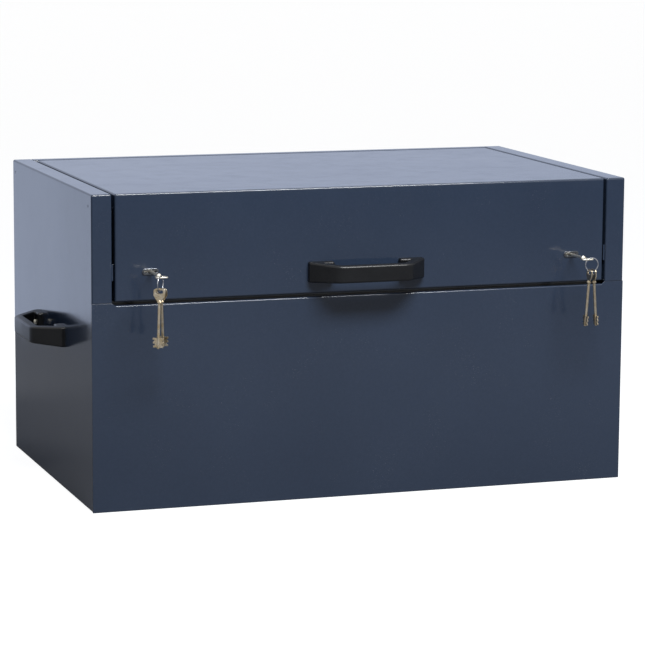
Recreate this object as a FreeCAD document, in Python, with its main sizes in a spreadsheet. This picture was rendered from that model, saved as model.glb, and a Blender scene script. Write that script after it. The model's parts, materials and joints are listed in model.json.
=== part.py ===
import FreeCAD, Part
import os

os.makedirs("parts", exist_ok=True)

import re
import Sketcher

# Lockable steel storage box with an L-shaped lid, two key locks and three bow handles.
# Millimetres; +Z up, the front faces -Y, the origin is the middle of the footprint on the ground.

SIZES = {
    # cabinet
    "box_width": 915,
    "box_depth": 550,
    "box_height": 510,
    "sheet_thick": 2,
    "bend_radius": 3,
    "flange_width": 33,
    "lip_depth": 26,
    "front_lip": 30,
    "post_foot": 22,
    "gutter_width": 14.5,
    "gutter_rise": 6,
    "gutter_clear": 4,
    "gutter_notch": 12,
    "seam_height": 336.5,
    "seam_gap": 0.5,
    "sill_height": 332.5,
    "sill_depth": 28,
    "sill_upstand": 18,
    "back_flange": 20,
    "back_lip": 24,
    "weld_flange": 31,
    "floor_rim": 25,
    "anchor_radius": 6.5,
    "anchor_inset_x": 107.5,
    "anchor_inset_y": 85,
    "vent_radius": 2,
    "vent_inset": 20,
    # lid
    "lid_gap": 5,
    "flap_gap": 6,
    "hinge_gap": 7,
    "lid_depth": 22,
    "hat_inset": 29.5,
    "hat_width": 60,
    "hat_height": 18,
    "hat_foot": 16,
    "hat_thick": 1.5,
    "buffer_length": 36,
    "buffer_width": 7,
    "buffer_gap": 0.3,
    "buffer_inset": 125,
    # hinge
    "hinge_inset": 11.5,
    "leaf_thick": 1.2,
    "leaf_drop": 18,
    "leaf_notch": 1,
    "knuckle_radius": 3,
    "knuckle_count": 11,
    "knuckle_gap": 0.4,
    "pin_radius": 1.5,
    "pin_clear": 0.4,
    # lid stays
    "open_angle": 95,
    "stay_radius": 130,
    "stay_lid_angle": 4,
    "stay_body_angle": 50,
    "stay_thick": 3,
    "stay_width": 18,
    "stay_inset": 16.5,
    "stud_radius": 4,
    "stud_clear": 0.4,
    "collar_radius": 6,
    "stud_head": 7,
    "bracket_inset": 7.5,
    "bracket_half": 14,
    "bracket_foot": 12,
    "bracket_length": 32,
    # bow handles
    "handle_half": 99,
    "handle_reach": 50,
    "grip_half": 61,
    "grip_inner": 54,
    "grip_bend": 12,
    "palm_bend": 7,
    "foot_bend": 2.5,
    "notch_bend": 1.5,
    "grip_thick": 15,
    "handle_height": 34,
    "grip_height": 27,
    "foot_rise": 7,
    "lug_thick": 10,
    "lug_inner": 56,
    "lug_outer": 76,
    "handle_round": 3,
    "handle_z": 373.5,
    "side_handle_z": 256,
    "handle_screw_x": 66,
    "screw_radius": 2.5,
    "screw_clear": 0.3,
    "screw_head": 4.5,
    "screw_head_rise": 3,
    "screw_tip": 0.8,
    "nut_radius": 5,
    "nut_height": 4,
    "nut_clear": 0.15,
    # locks
    "lock_inset": 57.5,
    "lock_z": 385,
    "plate_half": 13.5,
    "plate_height": 10,
    "plate_thick": 1.5,
    "keyway_half": 10.2,
    "keyway_height": 3,
    "keyway_radius": 3.2,
    "case_gap": 7.5,
    "case_reach": 40,
    "case_height": 58,
    "case_depth": 22,
    "bolt_height": 20,
    "bolt_thick": 8,
    "bolt_front": 11,
    "bolt_short": 1,
    "bolt_throw": 14,
    "bolt_clear": 0.5,
    "tail_reach": 30,
    "tail_height": 6,
    "lever_count": 4,
    "lever_thick": 1.6,
    "lever_pitch": 3.2,
    "lever_top": 11.5,
    "lever_foot": 26,
    "lever_half": 20,
    "case_screw_inset": 7,
    "case_screw_radius": 2,
    "case_screw_head": 3.6,
    "case_screw_rise": 2.4,
    "keeper_thick": 2.5,
    "keeper_half": 13,
    # keys and rings
    "key_reach": 67,
    "key_length": 94,
    "eye_edge": 5,
    "eye_radius": 3.3,
    "eye_slot": 2.7,
    "bow_half": 10,
    "bow_square": 6,
    "bow_length": 17,
    "bow_thick": 1.8,
    "shank_radius": 2.25,
    "shoulder_radius": 3.7,
    "shoulder_length": 3,
    "bit_start": 72,
    "bit_step": 3,
    "bit_thick": 2,
    "ring_radius": 11.2,
    "ring_wire": 0.7,
    "ring_clear": 0.3,
    "left_ring_yaw": 51.5,
    "right_ring_yaw": 180,
    "spare_apart": 3.5,
    "spare_clear": 0.6,
    "spare_splay": 4,
}

X_OUT = "(box_width/2)"
X_OPEN = "(box_width/2 - flange_width)"
X_LID = "(box_width/2 - flange_width - lid_gap)"
Y_FRONT = "(-box_depth/2)"
Y_SKIN = "(-box_depth/2 + sheet_thick)"
Y_BACK = "(box_depth/2)"
Y_BACK_LIP = "(box_depth/2 - back_flange)"
Y_LID_REAR = "(box_depth/2 - back_flange - hinge_gap)"
Y_HINGE = "(box_depth/2 - back_flange - hinge_gap/2)"
Z_HINGE = "(box_height - knuckle_radius)"
Z_FLAP = "(sill_height + flap_gap)"
Z_LID_RIM = "(box_height - lid_depth)"
X_LOCK = "(box_width/2 - flange_width - lid_gap - lock_inset)"
X_STAY = "(box_width/2 - flange_width - lid_gap - stay_inset)"
X_BRACKET = "(box_width/2 - flange_width - lid_gap - bracket_inset)"
X_HINGE = "(box_width/2 - flange_width - lid_gap - hinge_inset)"
X_ANCHOR = "(box_width/2 - anchor_inset_x)"
Y_ANCHOR = "(box_depth/2 - anchor_inset_y)"

doc = FreeCAD.newDocument("SiteBox")
sheet = doc.addObject("Spreadsheet::Sheet", "Sizes")
for row, (name, value) in enumerate(SIZES.items(), start=1):
    sheet.set("A%d" % row, name)
    sheet.set("B%d" % row, str(value))
    sheet.setAlias("B%d" % row, name)
doc.recompute()

# sides of the small round parts, coarse so that the whole stays light
FINE = 24
SMALL = 12
TINY = 8
HEX = 6
DIRECTIONS = {
    "X": FreeCAD.Rotation(FreeCAD.Vector(0, 1, 0), 90),
    "Y": FreeCAD.Rotation(FreeCAD.Vector(1, 0, 0), -90),
    "Z": FreeCAD.Rotation(),
}
pieces = []


def full(text):
    """The expression with every sheet name written out in full."""
    return re.sub(r"[a-z][a-z_]+", lambda m: ("Sizes." if m.group(0) in SIZES else "") + m.group(0), text)


def number(text):
    """The present value of an expression."""
    return float(sheet.evalExpression(full(text)))


def bind(thing, prop, text):
    thing.setExpression(prop, full(text))


def stand(thing, x="0", y="0", z="0"):
    """Binds the position of a feature or piece."""
    for axis, text in zip("xyz", (x, y, z)):
        bind(thing, "Placement.Base." + axis, text)


class Piece:
    """One sub-part: a body whose features take every size from the sheet."""

    def __init__(self, label):
        self.body = doc.addObject("PartDesign::Body", label)
        self.body.Label = label
        pieces.append(self.body)

    def slab(self, x, y, z, cut=False):
        """A rectangular block between pairs of coordinates."""
        box = self.body.newObject("PartDesign::" + ("SubtractiveBox" if cut else "AdditiveBox"), "Slab")
        for prop, (low, high) in zip(("Length", "Width", "Height"), (x, y, z)):
            bind(box, prop, "(%s) - (%s)" % (high, low))
        stand(box, x[0], y[0], z[0])
        box.recompute()
        return box

    def rod(self, axis, centre, radius, cut=False, sides=0):
        """A cylinder along one axis, or a prism of some sides; the centre's entry for that axis is a pair."""
        low, high = centre["XYZ".index(axis)]
        kind = ("Subtractive" if cut else "Additive") + ("Prism" if sides else "Cylinder")
        rod = self.body.newObject("PartDesign::" + kind, "Rod")
        rod.Placement = FreeCAD.Placement(FreeCAD.Vector(), DIRECTIONS[axis])
        if sides:
            rod.Polygon = sides
        bind(rod, "Circumradius" if sides else "Radius", radius)
        bind(rod, "Height", "(%s) - (%s)" % (high, low))
        stand(rod, *[low if letter == axis else text for letter, text in zip("XYZ", centre)])
        rod.recompute()
        return rod

    def sketch(self, plane, outline, level):
        """A closed outline of straight sides at a level along the plane's normal."""
        sketch = self.body.newObject("Sketcher::SketchObject", "Outline")
        datum = [f for f in self.body.Origin.OriginFeatures if f.Role == plane + "_Plane"][0]
        sketch.AttachmentSupport = [(datum, "")]
        sketch.MapMode = "FlatFace"
        bind(sketch, "AttachmentOffset.Base.z", level)
        points = [FreeCAD.Vector(number(u), number(v), 0) for u, v in outline]
        count = len(points)
        for i in range(count):
            sketch.addGeometry(Part.LineSegment(points[i], points[(i + 1) % count]))
        for i in range(count):
            sketch.addConstraint(Sketcher.Constraint("Coincident", i, 2, (i + 1) % count, 1))
        for i, (u, v) in enumerate(outline):
            for kind, text, value in (("DistanceX", u, points[i].x), ("DistanceY", v, points[i].y)):
                index = sketch.addConstraint(Sketcher.Constraint(kind, i, 1, value))
                bind(sketch, "Constraints[%d]" % index, text)
        return sketch

    def prism(self, plane, outline, span, cut=False):
        """An outline carried between two coordinates along the plane's normal."""
        low, high = span
        level = "-(%s)" % high if plane == "XZ" else low
        sketch = self.sketch(plane, outline, level)
        prism = self.body.newObject("PartDesign::" + ("Pocket" if cut else "Pad"), "Prism")
        prism.Profile = sketch
        prism.Reversed = cut
        bind(prism, "Length", "(%s) - (%s)" % (high, low))
        sketch.recompute()
        prism.recompute()
        return prism

    def edges(self, along, *places):
        """Names of the straight edges along an axis that lie at any of the places."""
        axis = "XYZ".index(along)
        others = [i for i in range(3) if i != axis]
        found = []
        for index, edge in enumerate(self.body.Tip.Shape.Edges, start=1):
            if edge.Degenerated or len(edge.Vertexes) != 2:
                continue
            start, end = [vertex.Point for vertex in edge.Vertexes]
            run = abs((end - start)[axis])
            if abs(edge.Length - run) > 1e-4:
                continue
            middle = (start + end) / 2
            for place in places:
                if all(abs(middle[i] - number(text)) < 0.02 for i, text in zip(others, place)):
                    found.append("Edge%d" % index)
        return found

    def faces(self, axis, level):
        """Names of the flat faces square to an axis at a level."""
        axis = "XYZ".index(axis)
        found = []
        for index, face in enumerate(self.body.Tip.Shape.Faces, start=1):
            flat = isinstance(face.Surface, Part.Plane) and abs(face.normalAt(0, 0)[axis]) > 0.9999
            if flat and abs(face.CenterOfMass[axis] - number(level)) < 0.02:
                found.append("Face%d" % index)
        return found

    def fillet(self, names, radius):
        base = self.body.Tip
        fillet = self.body.newObject("PartDesign::Fillet", "Round")
        fillet.Base = (base, names)
        bind(fillet, "Radius", radius)
        fillet.recompute()
        return fillet

    def chamfer(self, names, size):
        base = self.body.Tip
        chamfer = self.body.newObject("PartDesign::Chamfer", "Bevel")
        chamfer.Base = (base, names)
        bind(chamfer, "Size", size)
        chamfer.recompute()
        return chamfer

    def shell(self, names, thickness):
        """Hollows the block to a sheet, with the named faces open."""
        base = self.body.Tip
        shell = self.body.newObject("PartDesign::Thickness", "Shell")
        shell.Base = (base, names)
        shell.Reversed = True
        bind(shell, "Value", thickness)
        shell.recompute()
        return shell


def mirrored(label, source):
    """The same piece for the other side."""
    twin = doc.addObject("Part::Mirroring", label)
    twin.Label = label
    twin.Source = source.body
    twin.Base = FreeCAD.Vector(0, 0, 0)
    twin.Normal = FreeCAD.Vector(1, 0, 0)
    pieces.append(twin)
    return twin


def plus(*terms):
    return " + ".join("(%s)" % t for t in terms)


# side panels: folded trays, flanged all round, with the lip and rain gutter of the lid opening
side = Piece("side_panel_left")
side.slab(("-" + X_OUT, "-" + X_OPEN), (Y_FRONT, Y_BACK), ("0", "box_height"))
bends = side.edges("Y", ("-" + X_OUT, "box_height"), ("-" + X_OUT, "0"), ("-" + X_OPEN, "box_height"))
bends += side.edges("Z", ("-" + X_OUT, Y_FRONT), ("-" + X_OUT, Y_BACK), ("-" + X_OPEN, Y_FRONT))
bends += side.edges("X", (Y_FRONT, "box_height"), (Y_BACK, "box_height"))
side.fillet(bends, "bend_radius")
side.slab(
    ("-" + X_OUT + " + sheet_thick", "-" + X_OPEN + " - sheet_thick"),
    (Y_SKIN, Y_BACK + " - sheet_thick"),
    ("sheet_thick", "box_height - sheet_thick"),
    cut=True,
)
side.slab(
    ("-" + X_OPEN + " - sheet_thick - 1", "-" + X_OPEN + " + 1"),
    (Y_SKIN, Y_BACK + " - sheet_thick"),
    ("sheet_thick", "box_height - lip_depth"),
    cut=True,
)
side.slab(("-" + X_OUT, "-" + X_OPEN), (Y_FRONT, Y_SKIN), ("0", "seam_height + seam_gap"), cut=True)
side.slab(
    (plus("-" + X_OUT, "sheet_thick/2"), plus("-" + X_OUT, "sheet_thick + weld_flange")),
    (Y_SKIN, plus(Y_SKIN, "sheet_thick")),
    ("sheet_thick/2", "seam_height"),
)
gutter_y = (plus(Y_FRONT, "lid_depth + gutter_clear"), Y_BACK_LIP)
side.slab(
    ("-" + X_OPEN + " - sheet_thick/2", "-" + X_OPEN + " + gutter_width"),
    gutter_y,
    ("box_height - lip_depth", "box_height - lip_depth + sheet_thick"),
)
side.slab(
    ("-" + X_OPEN + " + gutter_width - sheet_thick", "-" + X_OPEN + " + gutter_width"),
    (gutter_y[0], Y_LID_REAR + " - gutter_notch"),
    ("box_height - lip_depth", "box_height - lip_depth + gutter_rise"),
)
BOLT_Y = (plus(Y_FRONT, "bolt_front - bolt_clear"), plus(Y_FRONT, "bolt_front + bolt_thick + bolt_clear"))
BOLT_Z = ("lock_z - bolt_height/2 - bolt_clear", "lock_z + bolt_height/2 + bolt_clear")
for y in (plus(Y_FRONT, "vent_inset"), Y_BACK + " - vent_inset"):
    wall = ("-" + X_OUT + " - 1", "-" + X_OUT + " + 2*sheet_thick")
    side.rod("X", (wall, y, "box_height - vent_inset"), "vent_radius", cut=True, sides=TINY)
for y in ("-handle_screw_x", "handle_screw_x"):
    side.rod("X", (wall, y, "side_handle_z"), "screw_radius + screw_clear", cut=True, sides=SMALL)
mirrored("side_panel_right", side)

# strike posts: folded angles welded behind the front flanges, slotted where the bolts enter
post = Piece("strike_post_left")
post_z = ("seam_height + seam_gap", "box_height - lip_depth")
post.slab(("-" + X_OPEN + " - sheet_thick", "-" + X_OPEN), (Y_SKIN, plus(Y_FRONT, "front_lip")), post_z)
post.slab(("-" + X_OPEN + " - post_foot", "-" + X_OPEN), (Y_SKIN, plus(Y_SKIN, "sheet_thick")), post_z)
post.slab(("-" + X_OPEN + " - 2*sheet_thick", "-" + X_OPEN + " + 1"), BOLT_Y, BOLT_Z, cut=True)
mirrored("strike_post_right", post)

# front panel: full width, its top stepped down between the side flanges and folded in as a sill
front = Piece("front_panel")
outline = [
    ("-" + X_OUT, "0"),
    (X_OUT, "0"),
    (X_OUT, "seam_height"),
    (X_OPEN, "seam_height"),
    (X_LID, "sill_height"),
    ("-" + X_LID, "sill_height"),
    ("-" + X_OPEN, "seam_height"),
    ("-" + X_OUT, "seam_height"),
]
front.prism("XZ", outline, (Y_FRONT, Y_SKIN))
sill = [
    (plus(Y_FRONT, "sheet_thick/2"), "sill_height - sheet_thick"),
    (plus(Y_FRONT, "sill_depth"), "sill_height - sheet_thick"),
    (plus(Y_FRONT, "sill_depth"), "sill_height + sill_upstand"),
    (plus(Y_FRONT, "sill_depth - sheet_thick"), "sill_height + sill_upstand"),
    (plus(Y_FRONT, "sill_depth - sheet_thick"), "sill_height"),
    (plus(Y_FRONT, "sheet_thick/2"), "sill_height"),
]
front.prism("YZ", sill, ("-" + X_LID, X_LID))
front.fillet(front.edges("X", (Y_FRONT, "sill_height")), "bend_radius - sheet_thick/2")

# back panel: one folded strip between the side trays, its top turned down again behind the hinge
back = Piece("back_panel")
strip = [
    (Y_BACK_LIP, "box_height - back_lip"),
    (Y_BACK_LIP, "box_height"),
    (Y_BACK, "box_height"),
    (Y_BACK, "0"),
    (Y_BACK + " - sheet_thick", "0"),
    (Y_BACK + " - sheet_thick", "box_height - sheet_thick"),
    (Y_BACK_LIP + " + sheet_thick", "box_height - sheet_thick"),
    (Y_BACK_LIP + " + sheet_thick", "box_height - back_lip"),
]
back.prism("YZ", strip, ("-" + X_OPEN, X_OPEN))
back.fillet(back.edges("X", (Y_BACK_LIP, "box_height"), (Y_BACK, "box_height")), "bend_radius")

# floor: a shallow tray between the side trays' bottom returns, with four anchor holes
floor = Piece("floor_panel")
floor.slab(("-" + X_OPEN, X_OPEN), (Y_SKIN, Y_BACK + " - sheet_thick"), ("0", "floor_rim"))
floor.fillet(floor.edges("X", (Y_SKIN, "0"), (Y_BACK + " - sheet_thick", "0")), "bend_radius")
floor.shell(floor.faces("Z", "floor_rim"), "sheet_thick")
for x in ("-" + X_ANCHOR, X_ANCHOR):
    for y in ("-" + Y_ANCHOR, Y_ANCHOR):
        floor.rod("Z", (x, y, ("-1", "2*sheet_thick")), "anchor_radius", cut=True)

# keeper plates: double the strike posts where the bolts enter
keeper = Piece("keeper_plate_left")
keeper_x = ("-" + X_OPEN, "-" + X_OPEN + " + keeper_thick")
keeper.slab(
    keeper_x,
    (plus(Y_FRONT, "bend_radius"), plus(Y_FRONT, "front_lip - bend_radius")),
    ("lock_z - keeper_half", "lock_z + keeper_half"),
)
keeper.slab(("-" + X_OPEN + " - 1", "-" + X_OPEN + " + keeper_thick + 1"), BOLT_Y, BOLT_Z, cut=True)
mirrored("keeper_plate_right", keeper)

# lid: one L-shaped tray, top and front flap, its rim turned in all round
lid = Piece("lid")
lid_outline = [
    (Y_FRONT, Z_FLAP),
    (Y_FRONT, "box_height"),
    (Y_LID_REAR, "box_height"),
    (Y_LID_REAR, Z_LID_RIM),
    (plus(Y_FRONT, "lid_depth"), Z_LID_RIM),
    (plus(Y_FRONT, "lid_depth"), Z_FLAP),
]
lid.prism("YZ", lid_outline, ("-" + X_LID, X_LID))
bends = lid.edges("X", (Y_FRONT, Z_FLAP), (Y_FRONT, "box_height"), (Y_LID_REAR, "box_height"))
for x in ("-" + X_LID, X_LID):
    bends += lid.edges("Y", (x, "box_height"))
    bends += lid.edges("Z", (x, Y_FRONT))
lid.fillet(bends, "bend_radius")
lid_inside = [
    (Y_SKIN, Z_FLAP + " + sheet_thick"),
    (Y_SKIN, "box_height - sheet_thick"),
    (Y_LID_REAR + " - sheet_thick", "box_height - sheet_thick"),
    (Y_LID_REAR + " - sheet_thick", Z_LID_RIM + " - 1"),
    (plus(Y_FRONT, "lid_depth + 1"), Z_LID_RIM + " - 1"),
    (plus(Y_FRONT, "lid_depth + 1"), Z_FLAP + " + sheet_thick"),
]
lid.prism("YZ", lid_inside, ("-" + X_LID + " + sheet_thick", X_LID + " - sheet_thick"), cut=True)
for x in ("-" + X_LID, X_LID):
    lid.slab((x + " - 2*sheet_thick", x + " + 2*sheet_thick"), BOLT_Y, BOLT_Z, cut=True)
for x in ("-" + X_LOCK, X_LOCK):
    skin = (Y_FRONT + " - 1", Y_SKIN + " + 1")
    lid.slab(
        (x + " - keyway_half", x + " + keyway_half"),
        skin,
        ("lock_z - keyway_height/2", "lock_z + keyway_height/2"),
        cut=True,
    )
    lid.rod("Y", (x, skin, "lock_z"), "keyway_radius", cut=True)
for x in ("-handle_screw_x", "handle_screw_x"):
    lid.rod("Y", (x, skin, "handle_z"), "screw_radius + screw_clear", cut=True, sides=SMALL)

# lid stiffener: a top-hat rail across the underside of the lid
hat = Piece("lid_stiffener")
top = "box_height - sheet_thick"
crown = "(hat_width/2 - hat_foot)"
hat_x = ("-" + X_LID + " + hat_inset", X_LID + " - hat_inset")
rail = [
    ("-hat_width/2", top),
    ("hat_width/2", top),
    ("hat_width/2", top + " - hat_thick"),
    (crown + " + hat_thick", top + " - hat_thick"),
    (crown, top + " - hat_height"),
    ("-" + crown, top + " - hat_height"),
    ("-" + crown + " - hat_thick", top + " - hat_thick"),
    ("-hat_width/2", top + " - hat_thick"),
]
hat.prism("YZ", rail, hat_x)
hollow = [
    ("-" + crown, top + " + 1"),
    (crown, top + " + 1"),
    (crown + " - hat_thick", top + " - hat_height + hat_thick"),
    ("-" + crown + " + hat_thick", top + " - hat_height + hat_thick"),
]
hat.prism("YZ", hollow, hat_x, cut=True)

# buffers: rubber pads on the gutters that the lid's rim comes down on
buffers = Piece("lid_buffers")
for x in ("-" + X_LID + " + sheet_thick/2", X_LID + " - sheet_thick/2"):
    for y in (plus(Y_FRONT, "buffer_inset"), Y_BACK + " - buffer_inset"):
        buffers.slab(
            (x + " - buffer_width/2", x + " + buffer_width/2"),
            (y + " - buffer_length/2", y + " + buffer_length/2"),
            ("box_height - lip_depth + sheet_thick", Z_LID_RIM + " - buffer_gap"),
        )


# hinge: two leaves with alternate knuckles on one pin, hidden in the rear gap
def hinge_leaf(label, side, first):
    """A leaf behind (+) or in front (-) of the pin; every other knuckle from the first is its own."""
    leaf = Piece(label)
    outer = "%s %s hinge_gap/2" % (Y_HINGE, side)
    inner = "%s %s (hinge_gap/2 - leaf_thick)" % (Y_HINGE, side)
    thick = (inner, outer) if side == "+" else (outer, inner)
    notch = Z_HINGE + " - knuckle_radius - leaf_notch"
    leaf.slab(("-" + X_HINGE, X_HINGE), thick, (Z_HINGE + " - leaf_drop", notch))
    for i in range(first, int(number("knuckle_count")), 2):
        span = (
            "-%s + %d*2*%s/knuckle_count + knuckle_gap/2" % (X_HINGE, i, X_HINGE),
            "-%s + %d*2*%s/knuckle_count - knuckle_gap/2" % (X_HINGE, i + 1, X_HINGE),
        )
        leaf.rod("X", (span, Y_HINGE, Z_HINGE), "knuckle_radius", sides=SMALL)
        leaf.slab(span, thick, (notch + " - 1", Z_HINGE))
    bore = ("-" + X_HINGE + " - 1", X_HINGE + " + 1")
    leaf.rod("X", (bore, Y_HINGE, Z_HINGE), "pin_radius + pin_clear", cut=True, sides=SMALL)


hinge_leaf("hinge_leaf_body", "+", 0)
hinge_leaf("hinge_leaf_lid", "-", 1)
pin = Piece("hinge_pin")
pin.rod("X", (("-" + X_HINGE, X_HINGE), Y_HINGE, Z_HINGE), "pin_radius")

# lid stays: slotted arms whose pivot and stud lie on one circle about the hinge,
# so an arm turns half as far as the lid while its slot runs over the stud
STAY_Y = Y_HINGE + " - stay_radius*cos(%s)"
STAY_Z = Z_HINGE + " - stay_radius*sin(%s)"
PIVOT = (STAY_Y % "stay_lid_angle", STAY_Z % "stay_lid_angle")
STUD = (STAY_Y % "stay_body_angle", STAY_Z % "stay_body_angle")
REACH_SHUT = "2*stay_radius*sin((stay_body_angle - stay_lid_angle)/2)"
REACH_OPEN = "2*stay_radius*sin((stay_body_angle - stay_lid_angle + open_angle)/2)"
SLOT_HALF = "(stud_radius + stud_clear)"
ARM_OUT = "-" + X_STAY + " - stay_thick"
arm = Piece("lid_stay_left")
thick = ("-stay_thick", "0")
arm.slab(thick, ("-stay_width/2", "stay_width/2"), ("-(%s) - %s" % (REACH_OPEN, SLOT_HALF), "0"))
arm.rod("X", (thick, "0", "0"), "stay_width/2")
arm.rod("X", (thick, "0", "-(%s) - %s" % (REACH_OPEN, SLOT_HALF)), "stay_width/2")
through = ("-stay_thick - 1", "1")
arm.rod("X", (through, "0", "0"), SLOT_HALF, cut=True)
arm.slab(through, ("-" + SLOT_HALF, SLOT_HALF), ("-(%s)" % REACH_OPEN, "-(%s)" % REACH_SHUT), cut=True)
for reach in (REACH_SHUT, REACH_OPEN):
    arm.rod("X", (through, "0", "-(%s)" % reach), SLOT_HALF, cut=True)
arm.body.Placement = FreeCAD.Placement(FreeCAD.Vector(), FreeCAD.Rotation(FreeCAD.Vector(1, 0, 0), 10))
bind(arm.body, "Placement.Rotation.Angle", "(stay_lid_angle + stay_body_angle)/2")
stand(arm.body, "-" + X_STAY, *PIVOT)
mirrored("lid_stay_right", arm)


def shouldered_pin(label, start, y, z):
    """A shoulder bolt from a wall to the arm: hexagon collar, round journal, hexagon head."""
    piece = Piece(label)
    collar = (start, ARM_OUT + " - stud_clear")
    journal = (ARM_OUT + " - stud_clear - 1", "-" + X_STAY + " + stud_clear + 1")
    head = ("-" + X_STAY + " + stud_clear", "-" + X_STAY + " + stud_clear + stay_thick")
    piece.rod("X", (collar, y, z), "collar_radius", sides=HEX)
    piece.rod("X", (journal, y, z), "stud_radius", sides=SMALL)
    piece.rod("X", (head, y, z), "stud_head", sides=HEX)
    return piece


mirrored("stay_pivot_right", shouldered_pin("stay_pivot_left", "-" + X_LID + " + sheet_thick", *PIVOT))
mirrored("stay_stud_right", shouldered_pin("stay_stud_left", "-" + X_BRACKET, *STUD))

# stay brackets: folded hats on the side walls that carry the studs
bracket = Piece("stay_bracket_left")
wall = "-" + X_OUT + " + sheet_thick"
high = STUD[1] + " + bracket_half"
low = STUD[1] + " - bracket_half"
fold = [
    (wall, low + " - bracket_foot"),
    (wall + " + sheet_thick", low + " - bracket_foot"),
    (wall + " + sheet_thick", low),
    ("-" + X_BRACKET, low),
    ("-" + X_BRACKET, high),
    (wall + " + sheet_thick", high),
    (wall + " + sheet_thick", high + " + bracket_foot"),
    (wall, high + " + bracket_foot"),
    (wall, high + " - sheet_thick"),
    ("-" + X_BRACKET + " - sheet_thick", high + " - sheet_thick"),
    ("-" + X_BRACKET + " - sheet_thick", low + " + sheet_thick"),
    (wall, low + " + sheet_thick"),
]
bracket.prism("XZ", fold, (STUD[0] + " - bracket_length/2", STUD[0] + " + bracket_length/2"))
mirrored("stay_bracket_right", bracket)


# bow handles: moulded grips on sloping arms, each foot with an inner lug for its screw
def bow_handle(prefix, turn, x, y, z):
    """A handle off the wall at y = 0 towards -Y, with screws from inside and nuts on its lugs."""
    grip = Piece(prefix)
    outline = [("-handle_half", "0"), ("-handle_half", "-foot_rise"), ("-grip_half", "-handle_reach")]
    outline += [("grip_half", "-handle_reach"), ("handle_half", "-foot_rise"), ("handle_half", "0")]
    outline += [("lug_inner", "0"), ("lug_inner", "-lug_thick"), ("lug_outer", "-lug_thick")]
    outline += [("grip_inner", "-handle_reach + grip_thick"), ("-grip_inner", "-handle_reach + grip_thick")]
    outline += [("-lug_outer", "-lug_thick"), ("-lug_inner", "-lug_thick"), ("-lug_inner", "0")]
    grip.prism("XY", outline, ("-handle_height/2", "handle_height/2"))
    grip.fillet(grip.edges("Z", ("-grip_half", "-handle_reach"), ("grip_half", "-handle_reach")), "grip_bend")
    inner = "-handle_reach + grip_thick"
    grip.fillet(grip.edges("Z", ("-grip_inner", inner), ("grip_inner", inner)), "palm_bend")
    notches = [("-lug_outer", "-lug_thick"), ("lug_outer", "-lug_thick")]
    grip.chamfer(grip.edges("Z", *notches), "notch_bend")
    feet = [(x, y) for x, y in outline if y in ("-foot_rise", "-lug_thick") and (x, y) not in notches]
    grip.chamfer(grip.edges("Z", *feet), "foot_bend")
    for sign in ("", "-"):
        taper = [
            ("0", sign + "handle_height/2"),
            ("-handle_reach - 1", sign + "grip_height/2"),
            ("-handle_reach - 1", sign + "(handle_height/2 + 1)"),
            ("0", sign + "(handle_height/2 + 1)"),
        ]
        grip.prism("YZ", taper, ("-handle_half - 1", "handle_half + 1"), cut=True)
    rims = []
    for index, edge in enumerate(grip.body.Tip.Shape.Edges, start=1):
        ends = [vertex.Point for vertex in edge.Vertexes]
        on_rim = all(abs(p.z) > number("grip_height/2 - 0.5") for p in ends) and ends[0].z * ends[-1].z > 0
        at_wall = all(abs(p.y) < 0.01 for p in ends)
        if on_rim and not at_wall:
            rims.append("Edge%d" % index)
    grip.chamfer(rims, "handle_round")
    for side in ("-", ""):
        hole = (side + "handle_screw_x", ("-lug_thick - 1", "1"), "0")
        grip.rod("Y", hole, "screw_radius + screw_clear", cut=True, sides=SMALL)
    screws = Piece(prefix + "_screws")
    nuts = Piece(prefix + "_nuts")
    for side in ("-", ""):
        at = side + "handle_screw_x"
        screws.rod("Y", (at, ("sheet_thick", "sheet_thick + screw_head_rise"), "0"), "screw_head", sides=HEX)
        shank = ("-lug_thick - nut_height - screw_tip", "sheet_thick + 1")
        screws.rod("Y", (at, shank, "0"), "screw_radius", sides=SMALL)
        nuts.rod("Y", (at, ("-lug_thick - nut_height", "-lug_thick"), "0"), "nut_radius", sides=HEX)
        bore = (at, ("-lug_thick - nut_height - 1", "-lug_thick + 1"), "0")
        nuts.rod("Y", bore, "screw_radius + nut_clear", cut=True, sides=SMALL)
    facing = FreeCAD.Rotation(FreeCAD.Vector(0, 0, 1), turn)
    for piece in (grip, screws, nuts):
        piece.body.Placement = FreeCAD.Placement(FreeCAD.Vector(), facing)
        stand(piece.body, x, y, z)


bow_handle("front_handle", 0, "0", Y_FRONT, "handle_z")
bow_handle("side_handle_left", -90, "-" + X_OUT, "0", "side_handle_z")
bow_handle("side_handle_right", 90, X_OUT, "0", "side_handle_z")

# locks: a case behind the flap with its cover, levers and a dead bolt that shoots sideways
CASE_X = ("-" + X_LID + " + case_gap", "-" + X_LOCK + " + case_reach")
CASE_Y = (Y_SKIN, plus(Y_SKIN, "case_depth"))
CASE_Z = ("lock_z - case_height/2", "lock_z + case_height/2")
KEYWAY_X = ("-" + X_LOCK + " - keyway_half", "-" + X_LOCK + " + keyway_half")
KEYWAY_Z = ("lock_z - keyway_height/2", "lock_z + keyway_height/2")
case = Piece("lock_case_left")
case.slab(CASE_X, CASE_Y, CASE_Z)
corners = [(x, z) for x in CASE_X for z in CASE_Z]
case.fillet(case.edges("Y", *corners), "bend_radius")
case.shell(case.faces("Y", CASE_Y[1]), "sheet_thick")
base = (Y_SKIN + " - 1", plus(Y_SKIN, "sheet_thick + 1"))
case.slab(KEYWAY_X, base, KEYWAY_Z, cut=True)
case.rod("Y", ("-" + X_LOCK, base, "lock_z"), "keyway_radius", cut=True)
case.slab((CASE_X[0] + " - 1", CASE_X[0] + " + 2*sheet_thick"), BOLT_Y, BOLT_Z, cut=True)
mirrored("lock_case_right", case)

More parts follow.
